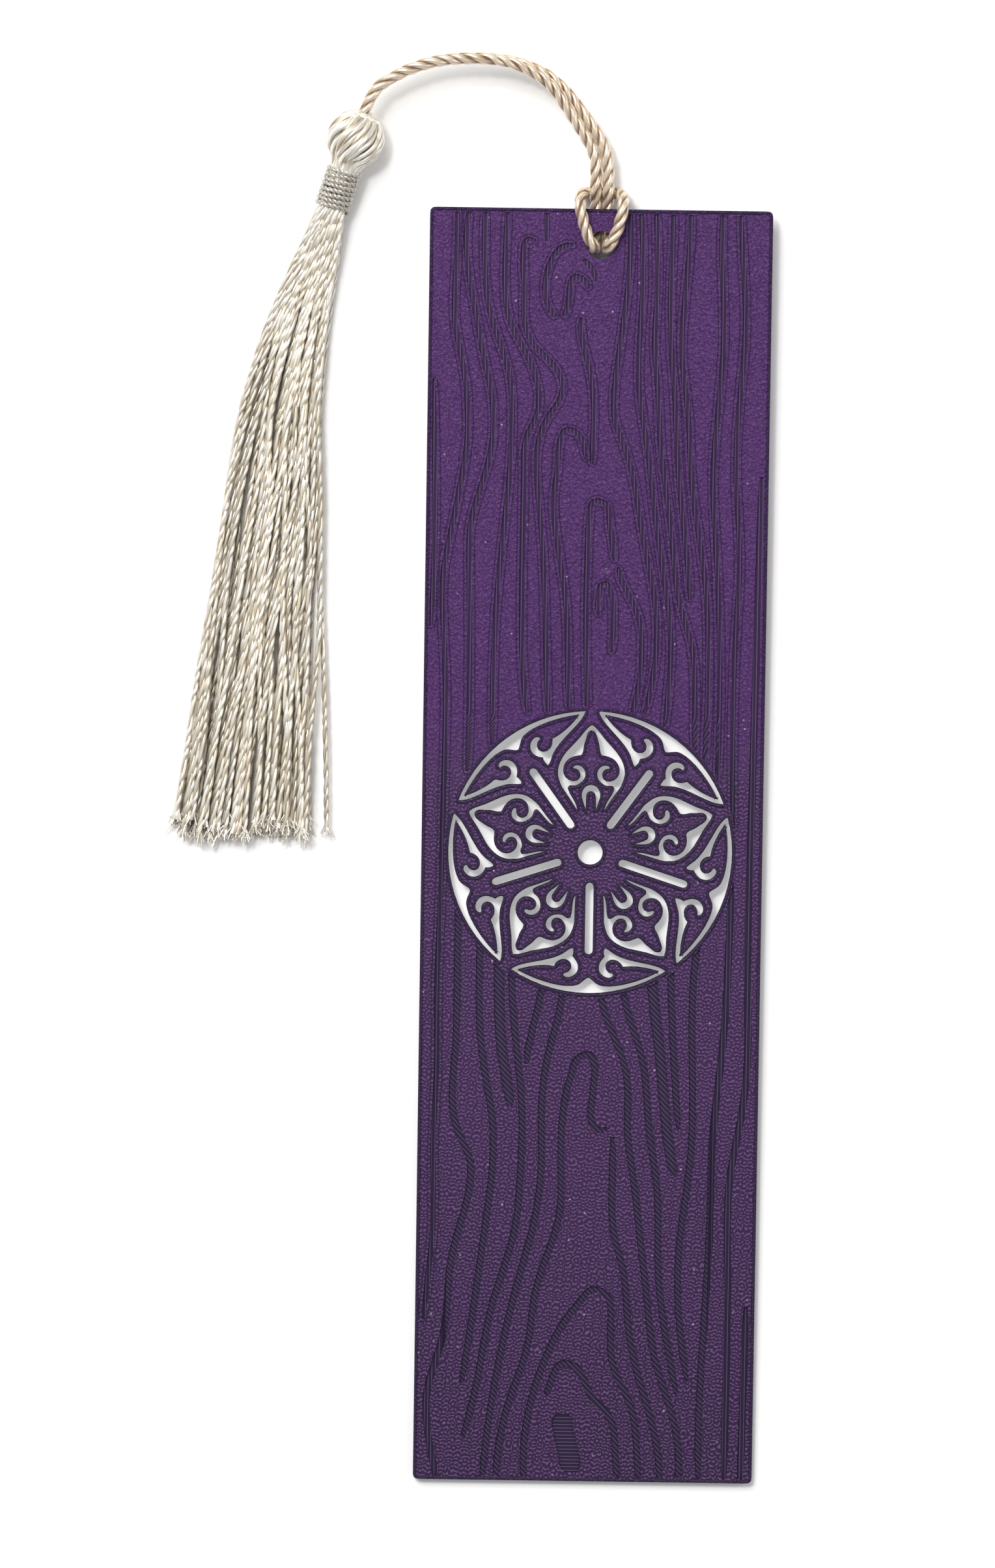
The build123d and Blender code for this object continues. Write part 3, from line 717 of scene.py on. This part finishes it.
def land_edges(node):
    """Closed chains along the edges of the plate's front, each with its turn into the land."""
    mesh = bmesh.new()
    mesh.from_mesh(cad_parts[node].data)
    bmesh.ops.remove_doubles(mesh, verts=mesh.verts, dist=SAME_POINT)
    up = PLATE_TURN @ Vector((0, 0, 1))
    top = (PLATE_SEAT * MM).dot(up) + PLATE_THICKNESS * MM

    def is_land(face):
        height = face.calc_center_median().dot(up)
        return face.normal.dot(up) > 0.99 and abs(height - top) < SAME_HEIGHT

    lands = {f.index for f in mesh.faces if is_land(f)}
    nearby = {}
    for edge in mesh.edges:
        inside = [f for f in edge.link_faces if f.index in lands]
        if len(inside) == 1:
            a, b = edge.verts
            for one, other in ((a, b), (b, a)):
                nearby.setdefault(one, []).append((other, inside[0].calc_center_median()))
    chains = []
    while nearby:
        first = next(iter(nearby))
        chain, hint, here = [], None, first
        while here in nearby:
            choices = nearby.pop(here)
            chain.append(here.co.copy())
            ahead = next(((v, c) for v, c in choices if v in nearby), None)
            if ahead is None:
                break
            if hint is None:
                hint = (here.co.copy(), ahead[0].co.copy(), ahead[1])
            here = ahead[0]
        if len(chain) > 3 and hint:
            a, b, c = hint
            turn = (b - a).cross(c - a).dot(up)
            chains.append((np.array(chain), 1.0 if turn > 0 else -1.0))
    mesh.free()
    return chains


def on_rim(chain):
    """Whether a chain runs along the plate's outer edge or the rosette."""
    x, y = chain[:, 0] / MM, chain[:, 1] / MM
    outer = max(abs(x).max() - PLATE_WIDTH / 2, abs(y).max() - TOP_EDGE) > -RIM_MARGIN
    reach = np.hypot(x - ROSETTE[0], y - ROSETTE[1]).max()
    return outer or reach < ROSETTE_RADIUS + ROSETTE_MARGIN


def in_upper_grain(chain):
    """Whether a chain runs round a groove of the plate's upper half."""
    y = chain[:, 1] / MM
    return not on_rim(chain) and np.median(y) > GRAIN_FROM and np.ptp(y) > LEAST_GROOVE


def wall_chains(inset, wanted):
    """The wanted edges of the land as evenly spaced closed chains, drawn into the land."""
    made = []
    for chain, sign in land_edges("plate"):
        closed = np.vstack([chain, chain[:1]])
        lengths = np.r_[0, np.cumsum(np.linalg.norm(np.diff(closed, axis=0), axis=1))]
        count = int(lengths[-1] / CHAIN_SPACING)
        if count < FEWEST_POINTS or not wanted(chain):
            continue
        at = np.linspace(0, lengths[-1], count, endpoint=False)
        even = np.stack([np.interp(at, lengths, closed[:, k]) for k in range(3)], 1)
        way = np.roll(even, -1, 0) - np.roll(even, 1, 0)
        way /= np.maximum(np.linalg.norm(way, axis=1, keepdims=True), 1e-9)
        inward = np.stack([-way[:, 1], way[:, 0], np.zeros(count)], 1) * sign
        made.append(even + inward * inset)
    return made


def chain_object(name, chains):
    """A mesh of edges only, one closed loop for each chain."""
    mesh = bpy.data.meshes.new(name)
    points, edges = [], []
    for chain in chains:
        first = len(points)
        points += [tuple(p) for p in chain]
        edges += [(first + i, first + (i + 1) % len(chain)) for i in range(len(chain))]
    mesh.from_pydata(points, edges, [])
    return placed(name, mesh)


class BOOKMARK_OT_plate(bpy.types.Operator):
    """Give the plate its printed finish, wall lines on its rims and fine lines by its grooves"""

    bl_idname = "bookmark.plate"
    bl_label = "Plate"

    def execute(self, context):
        settings = context.scene.bookmark_plate
        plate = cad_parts["plate"]
        plate.data.materials.clear()
        plastic = plate_material(settings)
        plate.data.materials.append(plastic)
        tree = wall_line_tree()
        chains = wall_chains(settings.line_width * WALL_INSET, on_rim)
        lines = dress(
            chain_object("wall_chains", chains), "plate_wall_lines", tree,
            Width=settings.line_width, Height=settings.line_height * 2,
            Step=0.0004, Finish=plastic,
        )
        chains = wall_chains(settings.line_width * GRAIN_INSET, in_upper_grain)
        grain = dress(
            chain_object("grain_chains", chains), "plate_grain_lines", tree,
            Width=settings.grain_width, Height=settings.grain_height * 2,
            Step=0.0005, Finish=plastic,
        )
        for piece in (lines, grain):
            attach(piece, "plate_body")
        return {"FINISHED"}


class BOOKMARK_OT_cord(bpy.types.Operator):
    """Lay the hitch round the plate's edge and the two legs of the loop"""

    bl_idname = "bookmark.cord"
    bl_label = "Cord"

    def execute(self, context):
        settings = context.scene.bookmark_cord
        tones = (settings.color, settings.flank_shade, settings.crevice_shade)
        tree = twist_tree(3, 0.265)
        size = {
            "Thread": settings.diameter, "Turn": settings.turn, "Uneven": 1.5,
            "Step": 0.0002, "Sides": 12, "Finish": silk_material("cord_silk", *tones, CORD_LIE),
        }
        curve = smooth_curve("hitch_route", [hitch_route()])
        hitch = dress(curve, "cord_loop_hitch", tree, Seed=3, **size)
        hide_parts("cord_hitch")
        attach(hitch, "plate_body")
        for side, name in ((-1, "left"), (1, "right")):
            curve = smooth_curve(f"leg_route_{name}", [leg_route(side)])
            path = centreline(curve)
            leg = dress(curve, f"cord_loop_{name}", tree, Seed=5 + side, **size)
            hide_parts(f"cord_leg_{name}_lower", f"cord_leg_{name}_upper")
            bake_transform(leg)
        return {"FINISHED"}


def head_routes():
    """Threads folded over the ball and drawn into the neck."""
    routes = []
    for k in range(HEAD_COUNT):
        start = TAU * k / HEAD_COUNT
        route = []
        for t in np.linspace(0, 1, 11):
            turn = start + t + 0.06 * math.sin(5 * t + 2.1 * k)
            route.append(on_ball(HEAD_RADIUS - HEAD_DEPTH, math.radians(10 + 138 * t), turn))
        route += [around_tassel(NECK_REACH, turn - 0.1, down) for down in (3.6, 4.6, 6.0)]
        routes.append(route)
    return routes


def crown_routes():
    """Threads that go round the mouth where the cord comes out of the head."""
    routes = []
    for k, polar in enumerate(CROWN_POLARS):
        route = []
        for t in np.linspace(0, 1, 22):
            turn = TAU * 1.04 * t + 2.4 * k
            angle = math.radians(polar + 2.5 * math.sin(turn * 2 + k) + 5 * t)
            route.append(on_ball(HEAD_RADIUS - CROWN_DEPTH, angle, turn))
        routes.append(route)
    return routes


def binding_route(turns):
    """One thread wound round the neck, a little unevenly."""
    pitch = BINDING_LENGTH / turns
    route = []
    for k in range(turns * BINDING_SIDES + 1):
        angle = TAU * k / BINDING_SIDES
        lift = 0.05 * math.sin(2.3 * angle) + 0.03 * math.sin(5.1 * angle)
        reach = BINDING_REACH + 0.02 * math.sin(1.7 * angle)
        route.append(around_tassel(reach, angle, BINDING_START + pitch * angle / TAU + lift))
    return route


def core_mesh(name, material):
    """The filling under the head's threads: a ball drawn in to the neck."""
    radius = HEAD_RADIUS - CORE_DEPTH
    profile = []
    for polar in np.linspace(0, 150, 16):
        angle = math.radians(polar)
        profile.append((radius * math.sin(angle), -radius * math.cos(angle)))
    profile += [(CORE_NECK, 3.4), (CORE_NECK, 8.6), (0.0, 8.7)]
    turns = np.linspace(0, TAU, CORE_SIDES, endpoint=False)
    mesh = bmesh.new()
    rings = [
        [mesh.verts.new(around_tassel(reach, turn, down) * MM) for turn in turns]
        for reach, down in profile
    ]
    for near, far in zip(rings, rings[1:]):
        for i in range(CORE_SIDES):
            j = (i + 1) % CORE_SIDES
            mesh.faces.new((near[i], near[j], far[j], far[i]))
    bmesh.ops.remove_doubles(mesh, verts=mesh.verts, dist=1e-6)
    bmesh.ops.recalc_face_normals(mesh, faces=mesh.faces)
    data = bpy.data.meshes.new(name)
    mesh.to_mesh(data)
    mesh.free()
    data.materials.append(material)
    data.shade_smooth()
    return placed(name, data)


class BOOKMARK_OT_head(bpy.types.Operator):
    """Fold the threads over the tassel's head and wind the binding round its neck"""

    bl_idname = "bookmark.head"
    bl_label = "Tassel head"

    def execute(self, context):
        settings = context.scene.bookmark_tassel
        tones = (settings.color, settings.flank_shade, settings.crevice_shade)
        tree = twist_tree(2, 0.29)
        size = {
            "Thread": 0.00102, "Turn": 0.009, "Uneven": 2.0, "Step": 0.00025, "Sides": 8,
            "Finish": silk_material("head_silk", *tones, HEAD_LIE),
        }
        curve = smooth_curve("head_routes", head_routes() + crown_routes(), 4)
        threads = dress(curve, "tassel_head_threads", tree, Seed=11, **size)
        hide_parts("head_threads", "cord_knot")
        # painted shade: the core takes only the silk's shaded flank and crevice tones, as it lies
        # under the head's threads
        filling = (settings.flank_shade, settings.flank_shade, settings.crevice_shade)
        core = core_mesh("tassel_head_core", silk_material("tassel_core", *filling, 1.0))
        # painted shade: darker copy of the tassel's silk tones for the binding
        wound = [shaded(tone, BINDING_PAINTED_SHADE) for tone in tones]
        wound = silk_material("binding_silk", *wound, HEAD_LIE)
        size.update(Thread=0.00066, Turn=0.0013, Finish=wound)
        curve = smooth_curve("binding_route", [binding_route(settings.binding_turns)], 4)
        binding = dress(curve, "tassel_binding", tree, Seed=12, **size)
        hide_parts("neck_binding")
        for piece in (threads, core, binding):
            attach(piece, "tassel")
        return {"FINISHED"}


def skirt_routes(layer, count, rng):
    """One layer of threads from the neck to their tips. One of the middle layer lies apart."""
    ys, xs, halves, zs = (np.array(column) for column in zip(*FAN))
    ts = np.linspace(0, 1, 15)
    place_y = ys[0] + (ys[-1] - ys[0]) * ts
    middle, half, height = (np.interp(-place_y, -ys, column) for column in (xs, halves, zs))
    loose = np.clip((46 - place_y) / 18, 0, 1)
    swell = np.sin(np.pi * np.clip(ts * 1.15, 0, 1)) * 0.8 + 0.2
    routes, radii = [], []
    for i in range(count):
        share = (2 * (i + 0.5) / count - 1) * 0.98 + rng.uniform(-0.03, 0.03)
        level = (layer - 1) * 0.8 + rng.uniform(-0.1, 0.1)
        wander = sum(
            size * np.sin(rng.uniform(0, TAU) + rate * rng.uniform(0.7, 1.3) * ts)
            for size, rate in ((0.09 + 0.08 * layer, 4.0), (0.06, 9.0), (0.02, 21.0))
        )
        place = (share + wander * swell) * (1 - 0.1 * loose) - 0.1 * loose
        if layer == 1 and i == count - 1:
            place = 0.9 + 0.08 * loose + 0.02 * np.sin(9 * ts)
        lift = level + 0.3 * np.sin(rng.uniform(0, TAU) + rng.uniform(6, 12) * ts) * swell
        tip = rng.uniform(-1.1, 1.3)
        route = [in_tassel(share, level, 6.6), in_tassel(share * 1.5, level * 1.3, 8.7)]
        for k, y in enumerate(place_y):
            x = middle[k] + np.clip(place[k], -1, 1) * (half[k] - 0.2)
            z = max(LOWEST_THREAD, height[k] + lift[k])
            route.append(Vector((x, y + tip * ts[k] ** 4, z)))
        routes.append(route)
        radii.append([0.7, 0.75, 0.85] + [1.0] * (len(route) - 3))
    return routes, radii


def fray_routes(tips, rng):
    """Loose fibres at the cut ends."""
    routes = []
    for before, tip in tips:
        way = (tip - before).normalized()
        for _ in range(FRAY_COUNT):
            spread = Vector([rng.uniform(-most, most) for most in (1, 0.3, 0.7)])
            length = rng.uniform(0.6, 1.5)
            root = tip - way * rng.uniform(0.3, 1.2) + spread * 0.22
            bend = root + way * (length * 0.6) + spread * 0.3
            end = root + way * length + spread * rng.uniform(0.4, 0.9)
            for p in (root, bend, end):
                p.z = max(p.z, LOWEST_FRAY)
            routes.append([root, bend, end])
    return routes


class BOOKMARK_OT_skirt(bpy.types.Operator):
    """Fan out the tassel's threads in three layers, with frayed ends"""

    bl_idname = "bookmark.skirt"
    bl_label = "Tassel skirt"

    def execute(self, context):
        settings = context.scene.bookmark_tassel
        tones = (settings.color, settings.flank_shade, settings.crevice_shade)
        tree = twist_tree(2, 0.34)
        single = twist_tree(1, 0.5)
        rng = np.random.default_rng(SKIRT_SEED)
        tips = []
        for layer, (name, light) in enumerate(SKIRT_LAYER_SHADES):
            # painted shade: each layer's silk tones scaled by its light
            silk = [shaded(tone, light) for tone in tones]
            silk = silk_material(f"skirt_silk_{name}", *silk, SKIRT_LIE)
            routes, radii = skirt_routes(layer, settings.per_layer, rng)
            tips += [(route[-2], route[-1]) for route in routes]
            skirt = dress(
                smooth_curve(f"skirt_route_{name}", routes, 4, radii), f"tassel_skirt_{name}", tree,
                Thread=settings.thread, Turn=settings.turn, Uneven=6.0, Step=0.0002, Sides=5,
                Seed=30 + layer, Finish=silk,
            )
            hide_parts(f"skirt_threads_{name}")
            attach(skirt, "tassel")
        fray = dress(
            smooth_curve("fray_route", fray_routes(tips, rng)), "tassel_fray", single,
            Thread=0.00016, Turn=0.002, Uneven=0.0, Step=0.0003, Sides=4, Seed=40, Finish=silk,
        )
        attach(fray, "tassel")
        return {"FINISHED"}


# Stage


TABLE_HALF = 2
PAINTED_GLOW_EDGE, PAINTED_GLOW = (0.0175, 0.0195), 0.32  # of the painted glow on the table under the rosette
SKY_COLOR, SKY_STRENGTH = (0.95, 0.97, 1, 1), 0.42
LAMP_TARGET = Vector((-0.01, 0.01, 0))
LAMPS = (  # place, size, power and colour
    ("key", (-0.26, 0.42, 0.62), 0.5, 5.0, (1.0, 0.985, 0.96)),
    ("glint", (-0.2, 0.3, 0.75), 0.1, 1.7, (1.0, 0.985, 0.96)),
    ("fill", (0.55, 0.1, 0.5), 0.4, 1.0, (1.0, 0.95, 0.88)),
)
VIEW_TARGET = Vector((-0.0112, 0.0075, 0.002))
VIEW_HALF = 0.0921  # half of the picture's longer side, at the target
SENSOR_WIDTH = 36


def table_material(color):
    """White paper, with a painted glow that makes it brighter where it is seen through the rosette.
    """
    material, net = new_material("table_paper")
    seen = net.node("ShaderNodeLightPath", {}, {}, "Is Camera Ray")
    x, y, _ = net.split(net.node("ShaderNodeTexCoord", {}, {}, "Object"))
    x, y = x - ROSETTE[0] * MM, y - ROSETTE[1] * MM
    under = 1.0 - net.step((x * x + y * y) ** 0.5, *PAINTED_GLOW_EDGE)
    # painted light: the table glows for camera rays only, within the rosette's reach, lifting the
    # shade seen through its openings
    painted_glow = net.tint(seen * under, (0, 0, 0), (1, 1, 1))
    constants = {
        "Base Color": (*color, 1), "Roughness": 0.8, "Specular IOR Level": 0.1,
        "Emission Strength": PAINTED_GLOW,
    }
    close_material(net, constants, Emission_Color=painted_glow)
    return material


class BOOKMARK_OT_stage(bpy.types.Operator):
    """Set the table, the soft light and the camera overhead"""

    bl_idname = "bookmark.stage"
    bl_label = "Stage"

    def execute(self, context):
        settings = context.scene.bookmark_stage
        mesh = bpy.data.meshes.new("table")
        corners = [(-1, -1), (1, -1), (1, 1), (-1, 1)]
        corners = [(x * TABLE_HALF, y * TABLE_HALF, 0) for x, y in corners]
        mesh.from_pydata(corners, [], [(0, 1, 2, 3)])
        mesh.materials.append(table_material(settings.table_color))
        table = placed("table", mesh)

        world = bpy.data.worlds.new("studio")
        world.use_nodes = True
        sky = world.node_tree.nodes["Background"].inputs
        sky["Color"].default_value = SKY_COLOR
        sky["Strength"].default_value = SKY_STRENGTH
        context.scene.world = world
        for name, place, size, power, color in LAMPS:
            lamp = bpy.data.lights.new(name, "AREA")
            lamp.size = size
            lamp.energy = power
            lamp.color = color
            holder = placed(name, lamp)
            holder.location = place
            way = LAMP_TARGET - Vector(place)
            holder.rotation_euler = way.to_track_quat("-Z", "Y").to_euler()

        data = bpy.data.cameras.new("camera")
        data.sensor_width = SENSOR_WIDTH
        data.lens = SENSOR_WIDTH / (2 * VIEW_HALF / settings.distance)
        camera = placed("camera", data)
        back = Vector((0, math.sin(settings.tilt), math.cos(settings.tilt)))
        up = Vector((-math.sin(settings.roll), math.cos(settings.roll), 0))
        right = up.cross(back).normalized()
        turn = Matrix((right, back.cross(right), back)).transposed().to_4x4()
        place = VIEW_TARGET + back * settings.distance
        camera.matrix_world = Matrix.Translation(place) @ turn
        context.scene.camera = camera
        context.scene.view_settings.view_transform = "Standard"
        return {"FINISHED"}


# Add-on


class BOOKMARK_PT_panel(bpy.types.Panel):
    """The bookmark's pieces in the order in which they are made"""

    bl_idname = "BOOKMARK_PT_panel"
    bl_label = "Bookmark"
    bl_space_type = "VIEW_3D"
    bl_region_type = "UI"
    bl_category = "Bookmark"

    def draw(self, context):
        for maker in MAKERS:
            self.layout.operator(maker.bl_idname)
        for group in SETTINGS:
            box = self.layout.box()
            for name in SETTINGS[group].__annotations__:
                box.prop(getattr(context.scene, group), name)


SETTINGS = {
    "bookmark_plate": BookmarkPlate,
    "bookmark_cord": BookmarkCord,
    "bookmark_tassel": BookmarkTassel,
    "bookmark_stage": BookmarkStage,
}
MAKERS = (
    BOOKMARK_OT_stage,
    BOOKMARK_OT_cord,
    BOOKMARK_OT_plate,
    BOOKMARK_OT_head,
    BOOKMARK_OT_skirt,
)


def register():
    for item in (*SETTINGS.values(), *MAKERS, BOOKMARK_PT_panel):
        bpy.utils.register_class(item)
    for name, group in SETTINGS.items():
        setattr(bpy.types.Scene, name, bpy.props.PointerProperty(type=group))


def unregister():
    for name in SETTINGS:
        delattr(bpy.types.Scene, name)
    for item in (BOOKMARK_PT_panel, *MAKERS[::-1], *SETTINGS.values()):
        bpy.utils.unregister_class(item)


def main():
    register()
    bpy.ops.bookmark.stage()
    bpy.ops.bookmark.cord()
    bpy.ops.bookmark.plate()
    bpy.ops.bookmark.head()
    bpy.ops.bookmark.skirt()


if __name__ == "__main__":
    main()
